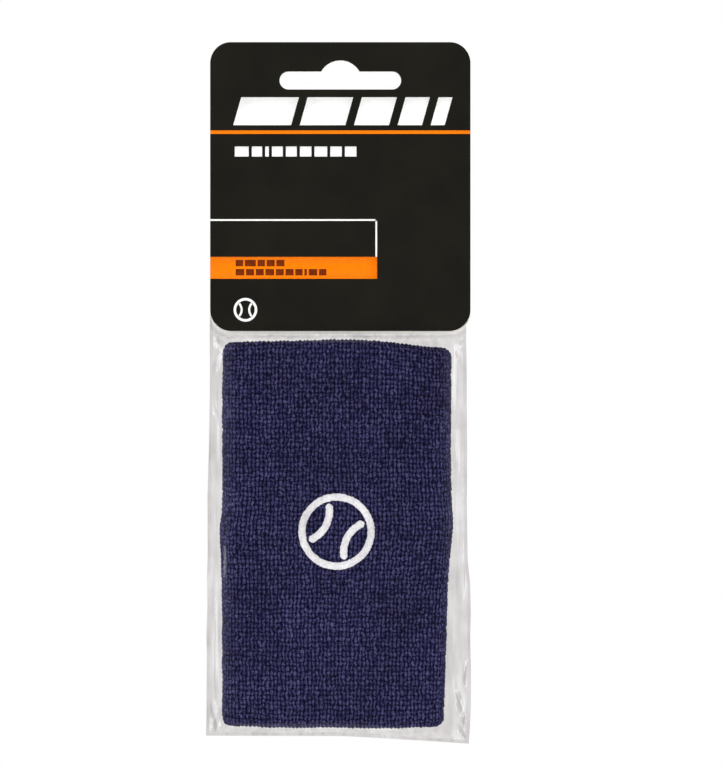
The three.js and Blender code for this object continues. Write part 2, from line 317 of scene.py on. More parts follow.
def boardMaterial():
    # Coated folding boxboard, offset printed black outside and bare inside: an even satin black with a faint
    # fibre tooth, pale fibre where the board is cut, and an off-white back.
    material, tree = newMaterial("offsetPrintedBoxboard")
    place = addNode(tree, "ShaderNodeTexCoord").outputs["Object"]
    parts = addNode(tree, "ShaderNodeSeparateXYZ", None, {"Vector": place}).outputs
    outward = addNode(tree, "ShaderNodeMath", {"operation": "SUBTRACT"}, {0: parts["Y"], 1: cardMiddle * mm})
    fromMiddle = addNode(tree, "ShaderNodeMath", {"operation": "ABSOLUTE"}, {0: outward})
    overCrease = addNode(tree, "ShaderNodeMath", {"operation": "GREATER_THAN"}, {
        0: parts["Z"], 1: (creaseLow[2] + card["hair"]) * mm,
    })
    outerFace = addNode(tree, "ShaderNodeMath", {"operation": "GREATER_THAN"}, {
        0: fromMiddle, 1: (cardHalf - card["faceDepth"]) * mm,
    })
    printed = addNode(tree, "ShaderNodeMath", {"operation": "MAXIMUM"}, {0: outerFace, 1: overCrease})
    # wood fibres, drawn as coarse as they need to show
    upright = addNode(tree, "ShaderNodeMapping", None, {"Vector": place, "Scale": (1, 1, 0.5)})
    fibres = addNode(tree, "ShaderNodeTexNoise", None, {
        "Vector": upright, "Scale": cellScale(0.4), "Detail": 3.0, "Roughness": 0.6,
    })
    clouding = addNode(tree, "ShaderNodeTexNoise", None, {
        "Vector": place, "Scale": cellScale(16.7), "Detail": 2.0,
    })
    inkTone = addNode(
        tree, "ShaderNodeValToRGB", {"stops": [(0.3, card["black"][0]), (0.7, card["black"][1])]},
        {"Fac": clouding},
    )
    coreTone = addNode(
        tree, "ShaderNodeValToRGB", {"stops": [(0.25, card["core"][0]), (0.75, card["core"][1])]},
        {"Fac": fibres},
    )
    colour = addNode(tree, "ShaderNodeMix", {"data_type": "RGBA"}, {0: printed, 6: coreTone, 7: inkTone})
    roughness = addNode(tree, "ShaderNodeMapRange", None, {
        "Value": fibres, "To Min": card["printRoughness"] - 0.06,
        "To Max": card["printRoughness"] + 0.08,
    })
    tooth = addNode(tree, "ShaderNodeBump", None, {
        "Strength": card["fibre"], "Distance": 0.02 * mm, "Height": fibres,
    })
    shader = addNode(tree, "ShaderNodeBsdfPrincipled", None, {
        "Base Color": colour.outputs[2], "Roughness": roughness,
        "Normal": tooth, "Specular IOR Level": 0.06,
    })
    addNode(tree, "ShaderNodeOutputMaterial", None, {"Surface": shader})
    return material


def mottledMaterial(name, tones, cell, tooth, finish):
    # Ink, thread, glue or fleece: a colour that drifts between tones in cells of a size in mm, and a tooth
    # of the same grain, given as its strength and its depth in mm.
    material, tree = newMaterial(name)
    place = addNode(tree, "ShaderNodeTexCoord").outputs["Object"]
    grain = addNode(tree, "ShaderNodeTexNoise", None, {
        "Vector": place, "Scale": cellScale(cell), "Detail": 3.0,
    })
    tone = addNode(tree, "ShaderNodeValToRGB", {"stops": tones}, {"Fac": grain})
    relief = addNode(tree, "ShaderNodeBump", None, {
        "Strength": tooth[0], "Distance": tooth[1] * mm, "Height": grain,
    })
    shader = addNode(tree, "ShaderNodeBsdfPrincipled", None, {
        "Base Color": tone, "Normal": relief, **finish,
    })
    addNode(tree, "ShaderNodeOutputMaterial", None, {"Surface": shader})
    return material


def inkMaterial(name, colour, lighter):
    # Opaque offset ink over the black: flat colour that thins very slightly where the board's fibres rise.
    tones = [(0.35, colour), (0.7, lighter)]
    return mottledMaterial(name, tones, 1.111, (0.2, 0.02), {"Roughness": 0.45, "Specular IOR Level": 0.08})


printedBoard = boardMaterial()
for node in ("card_front_panel", "card_rear_panel"):
    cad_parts[node].data.materials.clear()
    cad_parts[node].data.materials.append(printedBoard)


def creaseStrip():
    # The board over the top: half a tube round the fold line, its two faces a board's thickness apart, and
    # as long at each height as the card's rounded corners leave it.
    turn = np.linspace(math.pi, 0, card["foldSamples"])
    radii = np.concatenate([0 * turn + cardHalf, 0 * turn + cardHalf - boardThickness])
    angles = np.concatenate([turn, turn[::-1]])
    y = cardMiddle + radii * np.cos(angles)
    z = creaseLow[2] + radii * np.sin(angles)
    corner = card["corner"]
    side = frontHigh[0] - corner
    below = np.clip(z - (creaseHigh[2] - corner), 0, corner)
    reach = side + np.sqrt(corner * corner - below * below)
    along = np.linspace(-1, 1, 81)
    x = along[:, None] * reach[None, :]
    points = np.stack([x, np.broadcast_to(y, x.shape), np.broadcast_to(z, x.shape)], axis=-1)
    piece = newPiece("foldedCrease", gridOf(points, wrapV=True, capped=True))
    piece.data.materials.append(printedBoard)
    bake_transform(piece)
    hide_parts("card_crease")


creaseStrip()

# Printed shapes, in mm across and up the card. A bar is left, right, foot, head and lean; a row is a line of
# small blocks with their widths; a ball is its centre, radius and line width.
printDesign = {
    "rule": (-42.78, 42.78, -24.15, -23.0, 0),  # on both panels
    "mark": {"left": -35.2, "foot": -21.3, "head": -12.1, "lean": 2.6, "gap": 2.85,
             "widths": (19.0, 15.0, 11.5, 8.0, 4.6)},
    "subtitle": {"left": -34.7, "foot": -31.6, "head": -28.3, "lean": 0.0, "gap": 1.0,
                 "widths": (4.6, 3.4, 1.2, 3.6, 3.6, 3.8, 4.2, 3.8, 3.8)},
    "frameTop": (-42.78, 12.1, -52.75, -52.2, 0),
    "frameSide": (11.55, 12.1, -64.6, -52.2, 0),
    "panel": (-42.78, 12.1, -71.8, -64.6, 0),
    "panelRowHigh": {"left": -34.4, "foot": -67.7, "head": -65.6, "lean": 0.0, "gap": 0.6,
                     "widths": (2.4, 3.6, 2.4, 2.6, 2.6)},
    "panelRowLow": {"left": -34.4, "foot": -70.7, "head": -68.6, "lean": 0.0, "gap": 0.6,
                    "widths": (2.8, 2.6, 2.6, 2.8, 2.6, 2.6, 2.4, 0.8, 2.8, 2.4)},
    "ball": (-31.2, -82.0, 3.9, 0.85),
    "rearLabel": (-30.0, 30.0, -70.0, -38.0, 0),
}


def printedBar(bar, y, columns=12, rows=3):
    # a leaning four-sided patch of ink: straight lines between its foot and its head
    left, right, foot, head, lean = bar
    across, up = np.meshgrid(np.linspace(0, 1, columns), np.linspace(0, 1, rows), indexing="ij")
    x = left + (right - left) * across + lean * up
    z = foot + (head - foot) * up
    return gridOf(np.stack([x, np.full(x.shape, y), z], axis=-1))


def printedRow(row, y):
    # bars side by side with a gap between them
    widths = np.array(row["widths"])
    starts = row["left"] + np.concatenate([[0], np.cumsum(widths + row["gap"])[:-1]])
    return [
        printedBar((start, start + width, row["foot"], row["head"], row["lean"]), y, 4, 3)
        for start, width in zip(starts, widths)
    ]


def printedArc(centre, radius, width, fromAngle, toAngle, y):
    # a line of ink along a circle: a radius either side of the line, turned through the angles
    turn, side = np.meshgrid(np.linspace(fromAngle, toAngle, 61), np.linspace(-0.5, 0.5, 3), indexing="ij")
    distance = radius + side * width
    x = centre[0] + distance * np.cos(turn)
    z = centre[1] + distance * np.sin(turn)
    return gridOf(np.stack([x, np.full(x.shape, y), z], axis=-1), turned=True)


def printedBall(ball, y):
    # a ring and two arcs inside it, like a ball's seams
    x, z, radius, width = ball
    parts = [printedArc((x, z), radius - width / 2, width, 0, 2 * math.pi, y)]
    away = radius * 1.12
    reach = 0.72  # of each seam either way round its own centre, in radians
    for way in (0, math.pi):
        centre = (x + away * math.cos(way), z + away * math.sin(way))
        turns = (way + math.pi - reach, way + math.pi + reach)
        parts.append(printedArc(centre, radius * 0.8, width * 0.8, *turns, y))
    return parts


def inkPiece(name, grids, material, body, outward):
    # ink as thick as inkHeight, on the outer side of the board
    piece = newPiece(name, *grids)
    layer = piece.modifiers.new("layer", "SOLIDIFY")
    layer.thickness = card["inkHeight"] * mm
    layer.offset = outward
    piece.data.materials.append(material)
    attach(piece, body)


whiteInk = inkMaterial("opaqueWhiteInk", "#f8f8f6", "#fdfdfc")
orangeInk = inkMaterial("spotOrangeInk", "#f87904", "#fd8007")
maroonInk = inkMaterial("maroonOverprint", "#6a2404", "#7c3008")
frontInk = frontLow[1]
overInk = frontInk - card["inkHeight"]
rearInk = rearHigh[1]
frameLines = [printedBar(printDesign[line], frontInk) for line in ("frameTop", "frameSide")]
marks = printedRow(printDesign["mark"], frontInk) + printedRow(printDesign["subtitle"], frontInk)
ball = printedBall(printDesign["ball"], frontInk)
inkPiece("whitePrint", marks + frameLines + ball, whiteInk, "hang_card", 1.0)
fields = [printedBar(printDesign[field], frontInk) for field in ("rule", "panel")]
inkPiece("orangePrint", fields, orangeInk, "hang_card", 1.0)
panelRows = printedRow(printDesign["panelRowHigh"], overInk) + printedRow(printDesign["panelRowLow"], overInk)
inkPiece("maroonPrint", panelRows, maroonInk, "hang_card", 1.0)
inkPiece("rearRule", [printedBar(printDesign["rule"], rearInk)], orangeInk, "card_rear", -1.0)
inkPiece("rearLabel", [printedBar(printDesign["rearLabel"], rearInk)], whiteInk, "card_rear", -1.0)
print("the card is folded and printed")


terry = {
    "wales": 128,  # columns of loops round the band, 1.3 mm apart
    "coursePitch": 1.6,
    "samplesPerLoop": 4,
    "innerRows": 18,  # down each half of the inner wall
    "innerRelief": 0.3,  # of the loops on the inner wall, as a share of the outer ones'
    "gapHalf": 0.8,  # of the narrow gap that the wrist opens
    "loopHeight": 0.4,
    "lift": 0.3,  # of the loops' crowns over the plain tube, in loop heights
    "loopRise": 0.6,  # how much more a loop stands out that is bigger than its neighbours
    "columnGap": 1.0,
    "columnRound": 0.8,
    "rowGap": 0.65,
    "rowRound": 0.6,
    "unevenness": 0.5,  # of one loop beside the next
    "drift": 0.28,  # how far whole columns and rows wander
    "jostle": 0.2,  # how far single loops lie out of place
    "lie": 0.22,  # how unevenly the whole wall lies
    "sideRoom": 1.6,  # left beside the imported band, across
    "offCentre": 1.2,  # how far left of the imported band's middle the drawn outline's middle lies
    # The band's edges as it lies in the bag: across at each height, and up at each place across.
    "leftEdge": [(-93, -38.5), (-110, -38.7), (-146, -38.8), (-155, -39.8), (-164, -39.2), (-180, -39.0),
                 (-220, -38.9)],
    "rightEdge": [(-93, 36.6), (-128, 36.3), (-146, 36.6), (-153, 37.3), (-162, 36.2), (-171, 35.4),
                  (-190, 34.8), (-210, 34.2), (-220, 33.9)],
    "rearLower": 0.4,  # the top edge at the rear
    "topEdge": [(-39, -93.4), (-30, -92.6), (-15, -91.9), (-3, -91.6), (12, -92.2), (26, -93.6), (37, -94.8)],
    "footEdge": [(-39, -218.7), (-20, -219.1), (10, -219.4), (37, -219.2)],
    "edgeSoftness": 4,
    # tones: painted shade, nearly black, in the gaps, then the navy yarn, then a painted highlight on the
    # loops' crowns
    "tones": [(0.0, "#020110"), (0.27, "#100f2f"), (0.55, "#32315b"), (1.0, "#595881")],
}
bandLow, bandHigh = cadBoxOf("terry_tube")
bandHalf = (bandHigh[1] - bandLow[1]) / 2
foldRadius = (bandHalf - terry["gapHalf"]) / 2
foldCentre = terry["gapHalf"] + foldRadius


def bandOutline(x, z):
    # where a point of the plain pressed tube goes in the real outline: across between the edges, and up or
    # down by what the top and the foot leave
    softness = terry["edgeSoftness"]
    left = smoothLine(terry["leftEdge"], z, softness)
    right = smoothLine(terry["rightEdge"], z, softness)
    middle = (bandLow[2] + bandHigh[2]) / 2
    share = (z - middle) / (bandHigh[2] - middle)
    top = smoothLine(terry["topEdge"], x, softness) - bandHigh[2]
    foot = smoothLine(terry["footEdge"], x, softness) - bandLow[2]
    rise = np.clip(share, 0, 1) ** 3 * top + np.clip(-share, 0, 1) ** 3 * foot
    return left, right, rise


def terrySurface():
    # A tube folded double and pressed flat. Along the profile: up the inner wall, over the top fold's half
    # circle, down the outer wall, round the foot's half circle and up the inner wall again. Round the band:
    # two straight walls and two half circles. The knit rises from it in rows and columns of loops.
    each = terry["samplesPerLoop"]
    step = terry["coursePitch"] / each
    high = bandHigh[2] - foldRadius
    low = bandLow[2] + foldRadius
    middle = (high + low) / 2
    outerRows = int(round((high - low) / step / each)) * each
    foldRows = int(round(math.pi * foldRadius / step / each)) * each
    innerUp = np.linspace(middle, high, terry["innerRows"], endpoint=False)
    innerDown = np.linspace(low, middle, terry["innerRows"], endpoint=False)
    overTop = np.linspace(math.pi, 0, foldRows, endpoint=False)
    underFoot = np.linspace(0, -math.pi, foldRows, endpoint=False)
    outer = np.linspace(high, low, outerRows, endpoint=False)
    distance = np.concatenate([
        0 * innerUp + terry["gapHalf"], foldCentre + foldRadius * np.cos(overTop), 0 * outer + bandHalf,
        foldCentre + foldRadius * np.cos(underFoot), 0 * innerDown + terry["gapHalf"],
    ])
    height = np.concatenate([
        innerUp, high + foldRadius * np.sin(overTop), outer, low + foldRadius * np.sin(underFoot), innerDown,
    ])
    normalOut = np.concatenate([
        0 * innerUp - 1, np.cos(overTop), 0 * outer + 1, np.cos(underFoot), 0 * innerDown - 1,
    ])
    normalUp = np.concatenate([
        0 * innerUp, np.sin(overTop), 0 * outer, np.sin(underFoot), 0 * innerDown,
    ])
    relief = np.concatenate([
        0 * innerUp + terry["innerRelief"], 0 * overTop + 1, 0 * outer + 1, 0 * underFoot + 1,
        0 * innerDown + terry["innerRelief"],
    ])[None, :]
    rows = np.arange(len(height)) - len(innerUp)

    columns = terry["wales"] * each
    straight = bandHigh[0] - bandLow[0] - 2 * bandHalf - terry["sideRoom"]
    halfRound = math.pi * bandHalf
    perimeter = 2 * straight + 2 * math.pi * bandHalf
    place = np.arange(columns) / columns * perimeter
    # share across the straight walls, and the way out, for each column: front wall, right end, rear, left end
    ends = np.array([straight, straight + halfRound, 2 * straight + halfRound, perimeter])
    part = np.searchsorted(ends, place, side="right")
    since = place - np.concatenate([[0], ends[:-1]])[part]
    rightTurn = -math.pi / 2 + since / bandHalf
    leftTurn = math.pi / 2 + since / bandHalf
    flat = 0 * since
    across = np.choose(part, [-1 + 2 * since / straight, flat + 1, 1 - 2 * since / straight, flat - 1])
    outX = np.choose(part, [flat, np.cos(rightTurn), flat, np.cos(leftTurn)])
    outY = np.choose(part, [flat - 1, np.sin(rightTurn), flat + 1, np.sin(leftTurn)])

    column, row = np.meshgrid(np.arange(columns), rows, indexing="ij")

    def wandering(cellsRound, rowsLong, seed):
        # noise with so many cells round the band, each so many rows long
        return latticeNoise(column / (columns / cellsRound), row / rowsLong, seed, wrapX=cellsRound) * relief

    z = height[None, :] + terry["drift"] * wandering(16, 33, 4)
    roughX = across[:, None] * (straight / 2) + outX[:, None] * distance[None, :]
    left, right, rise = bandOutline(roughX - terry["offCentre"], z)
    centre = (left + right) / 2
    reach = (right - left) / 2 - bandHalf
    loopCount = len(rows) // each + 2
    loopRandom = np.random.default_rng(11).uniform(-1, 1, (terry["wales"], loopCount))
    loops = loopRandom[column // each, row // each % loopCount] * terry["unevenness"]
    inColumnGap = (1 - np.sin(math.pi * (column % each) / each) ** terry["columnRound"]) * terry["columnGap"]
    inRowGap = (1 - np.sin(math.pi * (row % each) / each) ** terry["rowRound"]) * terry["rowGap"]
    crown = terry["lift"] - inColumnGap - inRowGap * (1 - loops) + terry["loopRise"] * loops
    offset = terry["loopHeight"] * relief * crown + terry["lie"] * wandering(8, 64, 5)
    wide = distance[None, :] + offset * normalOut[None, :]
    drift = terry["drift"] * wandering(10, 50, 3) + terry["jostle"] * wandering(100, 4.6, 7)
    x = centre + across[:, None] * reach + outX[:, None] * wide + drift * np.abs(outY[:, None])
    y = outY[:, None] * wide
    jostle = terry["jostle"] * wandering(100, 4.3, 8)
    z = z + rise + offset * normalUp[None, :] + jostle * np.abs(normalOut[None, :])
    upper = np.clip((height - middle) / (bandHigh[2] - middle), 0, 1) ** 3
    z = z - terry["rearLower"] * np.clip(outY, 0, 1)[:, None] * upper[None, :]
    return np.stack([x, y, z], axis=-1), len(rows)


def terryMaterial(rowCount):
    # Terry knit of cotton and polyester round elastic: matt tufted loops, with painted shade making the gaps
    # between columns nearly black, a painted highlight on the crown of each loop, and fine fibres across it.
    material, tree = newMaterial("reactiveDyedTerryKnit")
    uv = addNode(tree, "ShaderNodeUVMap", {"uv_map": "UVMap"}).outputs["UV"]
    place = addNode(tree, "ShaderNodeTexCoord").outputs["Object"]
    # loops sit a little out of line: the pattern is bent by a noise of about 2 mm
    bend = addNode(tree, "ShaderNodeTexNoise", None, {
        "Vector": place, "Scale": cellScale(1.923), "Detail": 1.0,
    })
    bendReach = (1.1 / terry["wales"], 1.3 * terry["samplesPerLoop"] / rowCount, 0)
    outOfLine = addNode(tree, "ShaderNodeVectorMath", {"operation": "MULTIPLY_ADD"}, {
        0: bend.outputs["Color"], 1: bendReach, 2: uv,
    })
    split = addNode(tree, "ShaderNodeSeparateXYZ", None, {"Vector": outOfLine})

    def paintedGapShadeMask(share, count, power):
        # the mask for the painted shade in the gaps: 1 in the middle of a loop and 0 in the gap beside it, a
        # sine's size raised to a power
        turns = addNode(tree, "ShaderNodeMath", {"operation": "MULTIPLY"}, {0: share, 1: count * math.pi})
        wave = addNode(tree, "ShaderNodeMath", {"operation": "SINE"}, {0: turns})
        size = addNode(tree, "ShaderNodeMath", {"operation": "ABSOLUTE"}, {0: wave})
        mask = addNode(tree, "ShaderNodeMath", {"operation": "POWER"}, {0: size, 1: power})
        return mask

    columns = paintedGapShadeMask(split.outputs["X"], terry["wales"], 1.0)
    rows = paintedGapShadeMask(split.outputs["Y"], rowCount / terry["samplesPerLoop"], 0.8)
    # painted shade: both gaps darken, and most where they cross
    paintedRowGapShade = addNode(tree, "ShaderNodeMath", {"operation": "MULTIPLY_ADD"}, {0: rows, 1: 0.55, 2: -0.35})
    crown = addNode(tree, "ShaderNodeMath", {"operation": "MULTIPLY_ADD", "use_clamp": True}, {
        0: columns, 1: 0.8, 2: paintedRowGapShade,
    })
    # one random number for each loop, read a hair away from the steps' own edges
    loopSteps = (1 / terry["wales"], terry["samplesPerLoop"] / rowCount, 1)
    loopPlace = addNode(tree, "ShaderNodeVectorMath", {"operation": "SNAP"}, {0: outOfLine, 1: loopSteps})
    inLoop = addNode(tree, "ShaderNodeVectorMath", {"operation": "ADD"}, {
        0: loopPlace, 1: (0.001, 0.001, 0),
    })
    loopChance = addNode(tree, "ShaderNodeTexWhiteNoise", {"noise_dimensions": "2D"}, {"Vector": inLoop})
    loopShare = addNode(tree, "ShaderNodeMapRange", None, {
        "Value": loopChance, "To Min": 0.75, "To Max": 1.15,
    })
    # tufts in cells of 1 mm and fibres in cells of 0.45 mm, both drawn coarser than yarn to show
    tufts = addNode(tree, "ShaderNodeTexNoise", None, {
        "Vector": place, "Scale": cellScale(1.0), "Detail": 2.0, "Roughness": 0.6,
    })
    crossways = addNode(tree, "ShaderNodeMapping", None, {"Vector": place, "Scale": (0.8, 1, 1)})
    fibres = addNode(tree, "ShaderNodeTexNoise", None, {
        "Vector": crossways, "Scale": cellScale(0.4545), "Detail": 3.0, "Roughness": 0.7,
    })
    # painted highlights of single yarns lying over the loops: thin bright lines where a smooth noise passes
    # its middle value
    slanted = addNode(tree, "ShaderNodeMapping", None, {
        "Vector": place, "Scale": (1, 1, 0.75), "Rotation": (0, 0.5, 0),
    })
    lying = addNode(tree, "ShaderNodeTexNoise", None, {
        "Vector": slanted, "Scale": cellScale(1.111), "Detail": 1.0,
    })
    fromMiddle = addNode(tree, "ShaderNodeMath", {"operation": "SUBTRACT"}, {0: lying, 1: 0.5})
    nearness = addNode(tree, "ShaderNodeMath", {"operation": "ABSOLUTE"}, {0: fromMiddle})
    yarnHighlightLines = addNode(tree, "ShaderNodeMapRange", None, {
        "Value": nearness, "From Min": 0.0, "From Max": 0.07, "To Min": 1.0, "To Max": 0.0,
    })
    patches = addNode(tree, "ShaderNodeTexNoise", None, {
        "Vector": place, "Scale": cellScale(22.2), "Detail": 2.0,
    })
    tuftShare = addNode(tree, "ShaderNodeMapRange", None, {
        "Value": tufts, "From Min": 0.3, "From Max": 0.7, "To Min": 0.75, "To Max": 1.25,
    })
    uneven = addNode(tree, "ShaderNodeMath", {"operation": "MULTIPLY"}, {0: loopShare, 1: tuftShare})
    # painted shade in the gaps and painted highlight on the crowns, times the random tone of each loop and
    # tuft
    loopPaintedShadeAndTone = addNode(tree, "ShaderNodeMath", {"operation": "MULTIPLY"}, {0: crown, 1: uneven})
    # painted highlight: the knit colour is brighter on these yarn lines
    paintedYarnHighlight = addNode(tree, "ShaderNodeMath", {"operation": "MULTIPLY_ADD"}, {0: yarnHighlightLines, 1: 0.5, 2: 0.72})
    # raised carries the painted gap shade and yarn highlights into the colour, and also serves as the bump's
    # height
    raised = addNode(tree, "ShaderNodeMath", {"operation": "MULTIPLY"}, {0: loopPaintedShadeAndTone, 1: paintedYarnHighlight})
    fibreShare = addNode(tree, "ShaderNodeMapRange", None, {
        "Value": fibres, "From Min": 0.35, "From Max": 0.65, "To Min": 0.5, "To Max": 1.5,
    })
    knitToneAndPaintedShade = addNode(tree, "ShaderNodeMath", {"operation": "MULTIPLY"}, {0: raised, 1: fibreShare})
    # the ramp turns this painted shade and highlight, with the fibres' random tone, into colour
    tone = addNode(tree, "ShaderNodeValToRGB", {"stops": terry["tones"]}, {"Fac": knitToneAndPaintedShade})
    wash = addNode(tree, "ShaderNodeMapRange", None, {
        "Value": patches, "From Min": 0.3, "From Max": 0.7, "To Min": 0.9, "To Max": 1.1,
    })
    washed = addNode(tree, "ShaderNodeVectorMath", {"operation": "SCALE"}, {0: tone, "Scale": wash})
    fibreHeight = addNode(tree, "ShaderNodeMath", {"operation": "MULTIPLY_ADD"}, {
        0: fibres, 1: 0.5, 2: raised,
    })
    relief = addNode(tree, "ShaderNodeBump", None, {
        "Strength": 0.7, "Distance": 0.3 * mm, "Height": fibreHeight,
    })
    shader = addNode(tree, "ShaderNodeBsdfPrincipled", None, {
        "Base Color": washed, "Roughness": 0.92, "Normal": relief,
        "Specular IOR Level": 0.15, "Sheen Weight": 0.2, "Sheen Roughness": 0.5,
        "Sheen Tint": "#9a9ad8",
    })
    addNode(tree, "ShaderNodeOutputMaterial", None, {"Surface": shader})
    return material


bandPoints, rowCount = terrySurface()
band = newPiece("terryBand", gridOf(bandPoints, wrapU=True, wrapV=True))
band.data.materials.append(terryMaterial(rowCount))
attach(band, "wristband")
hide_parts("terry_tube")
print("the band is knitted:", len(band.data.polygons), "faces")


stitches = {
    "threadPitch": 0.5,  # real satin stitch lies closer; this is as fine as shows
    "crown": 0.5,
    "threadRelief": 0.16,
    "ragged": 0.12,
    "sunk": 0.15,  # how deep its foot lies in the loops
    "raised": 1.5,  # above its packed place
    "samplesPerThread": 6,
    "lineWidth": 2.4,
    "seamAway": 14.0,  # from the ring's middle to the middle of each seam's arc
    "seamRadius": 10.0,
    "seamReach": 0.745,  # of each seam either way round its arc, in radians
    "tilt": 28,  # in degrees
}
ringLow, ringHigh = cadBoxOf("motif_ring")
motifCentre = ((ringLow[0] + ringHigh[0]) / 2, (ringLow[2] + ringHigh[2]) / 2 + stitches["raised"])
motifRadius = (ringHigh[0] - ringLow[0]) / 2
knitRise = terry["loopHeight"] * terry["lift"]


def satinStrip(name, centre, radius, fromAngle, toAngle, closed, seed):
    # Satin stitch along a circle: a crowned section, half an ellipse over a flat foot, carried along the arc.
    # Each thread rises like half a sine and ends a little in or out of line; an open strip narrows at its
    # ends.
    width = stitches["lineWidth"]
    length = radius * abs(toAngle - fromAngle)
    threads = int(round(length / stitches["threadPitch"]))
    count = threads * stitches["samplesPerThread"]
    along = np.linspace(0, 1, count if closed else count + 1, endpoint=not closed)
    over = np.linspace(math.pi, 0, 15)
    foot = np.linspace(1, -1, 6)[1:-1]
    side = np.concatenate([np.cos(over), foot])
    rise = np.concatenate([np.sin(over) ** 0.7, 0 * foot])
    turn, across = np.meshgrid(fromAngle + (toAngle - fromAngle) * along, side, indexing="ij")
    lift = np.broadcast_to(rise, turn.shape)
    thread = np.minimum((along * threads).astype(int), threads - 1)
    ends = np.random.default_rng(seed).uniform(-1, 1, (threads, 2))[thread]
    shift = np.where(across < 0, ends[:, :1], ends[:, 1:]) * stitches["ragged"] * across ** 2
    groove = np.abs(np.sin(math.pi * along * threads))[:, None] ** 0.6
    narrowing = 1.0
    if not closed:
        fromEnd = np.minimum(along, 1 - along) * length
        narrowing = np.clip(fromEnd / 0.9, 0.15, 1)[:, None] ** 0.5
    distance = radius + (across * width / 2) * narrowing + shift
    height = lift * (stitches["crown"] + stitches["threadRelief"] * (groove - 0.5)) * narrowing
    x = centre[0] + distance * np.cos(turn)
    z = centre[1] + distance * np.sin(turn)
    y = -(bandHalf + knitRise - stitches["sunk"]) - height
    return newPiece(name, gridOf(np.stack([x, y, z], axis=-1), wrapU=closed, wrapV=True, capped=not closed))


def threadMaterial():
    # Rayon embroidery thread: bright white with a silky shine, and a soft grey line of painted shade between
    # threads.
    material, tree = newMaterial("rayonSatinStitch")
    uv = addNode(tree, "ShaderNodeUVMap", {"uv_map": "UVMap"}).outputs["UV"]
    place = addNode(tree, "ShaderNodeTexCoord").outputs["Object"]
    # 600 strands along each strip, about 0.12 mm apart round the ring
    strandPlace = addNode(tree, "ShaderNodeMapping", None, {"Vector": uv, "Scale": (600, 6, 1)})
    strands = addNode(tree, "ShaderNodeTexNoise", None, {
        "Vector": strandPlace, "Scale": 1.0, "Detail": 2.0,
    })
    dust = addNode(tree, "ShaderNodeTexNoise", None, {
        "Vector": place, "Scale": cellScale(0.6667), "Detail": 2.0,
    })
    dustPart = addNode(tree, "ShaderNodeMath", {"operation": "MULTIPLY"}, {0: dust, 1: 0.4})
    mixed = addNode(tree, "ShaderNodeMath", {"operation": "MULTIPLY_ADD"}, {
        0: strands, 1: 0.6, 2: dustPart,
    })
    # painted shade: the ramp greys where the strands' noise runs low, between threads
    tone = addNode(
        tree, "ShaderNodeValToRGB", {"stops": [(0.32, "#cfcedb"), (0.55, "#ffffff")]},
        {"Fac": mixed},
    )
    relief = addNode(tree, "ShaderNodeBump", None, {
        "Strength": 0.4, "Distance": 0.1 * mm, "Height": strands,
    })
    shader = addNode(tree, "ShaderNodeBsdfPrincipled", None, {
        "Base Color": tone, "Roughness": 0.42, "Normal": relief,
        "Specular IOR Level": 0.5, "Sheen Weight": 0.2, "Sheen Roughness": 0.3,
    })
    addNode(tree, "ShaderNodeOutputMaterial", None, {"Surface": shader})
    return material


whiteThread = threadMaterial()
ringRadius = motifRadius - stitches["lineWidth"] / 2
motifParts = [satinStrip("motifRing", motifCentre, ringRadius, 0, 2 * math.pi, True, 21)]
for name, way in (("motifSeamLeft", math.pi), ("motifSeamRight", 0.0)):
    toward = way - math.radians(stitches["tilt"])
    centre = (
        motifCentre[0] + stitches["seamAway"] * math.cos(toward),
        motifCentre[1] + stitches["seamAway"] * math.sin(toward),
    )
    start = toward + math.pi - stitches["seamReach"]
    end = toward + math.pi + stitches["seamReach"]
    motifParts.append(satinStrip(name, centre, stitches["seamRadius"], start, end, False, 22))
for piece, node in zip(motifParts, ("motif_ring", "motif_seam_left", "motif_seam_right")):
    piece.data.materials.append(whiteThread)
    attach(piece, "wristband")
    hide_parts(node)
print("the motif is stitched")


film = {
    "columns": 236,
    "rows": 380,
    "leftEdge": [(-60, -39.5), (-80, -41.5), (-82, -42.9), (-93, -43.0), (-112, -43.1), (-140, -43.5),
                 (-160, -43.7), (-222, -44.2), (-226, -44.2)],
    "rightEdge": [(-60, 38.5), (-80, 41.0), (-82, 41.5), (-93, 41.4), (-112, 41.5), (-140, 41.8),
                  (-163, 41.8), (-171, 42.8), (-210, 42.9), (-226, 42.1)],
    "footEdge": [(-45, -222.1), (0, -222.2), (8, -222.6), (30, -223.9), (43, -224.8)],
    "plainFoot": -223.0,  # of the bag before its foot's own line
    "flat": (0.0896, 0.1707),  # of each ply as modelled, measured along its surface, in metres
    "face": 7.3,  # how far each ply stands from the middle over the band
    "neck": 0.06,
    "straight": (0.6, 0.9),  # how far below the card the front and the rear ply turn outward
    "topReach": 3.7,  # from there down to the middle of the fold that they go round
    "sideReach": 10.4,  # from a side weld in to the middle of the band's round side
    "footReach": 4.4,  # from the bottom weld up to the middle of the band's foot fold
    "weld": 1.0,
    "easing": 0.35,  # of the corner where two of the film's slopes meet
    "bendZone": 0.2,  # either side of the card's foot, where the film turns with the bag
    "crowding": 0.11,  # of the columns toward the sides
    "sideWave": 0.16,
    "sideCreases": 11,
    "creaseDepth": 0.3,
    "faceSlack": 0.05,
    "slackMost": 0.3,  # how far a crease may stand past the face
    # painted light and shade: how much lighter or greyer the film goes on creases' flanks, by their slope
    "flankContrast": 0.3,
    "weldShade": 0.05,
    "steepShade": 0.1,  # where the film leaves the card
    "tones": [(0.18, "#cfcdce"), (0.42, "#e9e7e7"), (0.5, "#edebeb"), (0.58, "#f2f1f1"), (0.8, "#fefefe")],
    "mirror": 0.025,  # how much it mirrors face on
    "steepMirror": 0.4,  # and how much more edge on
}
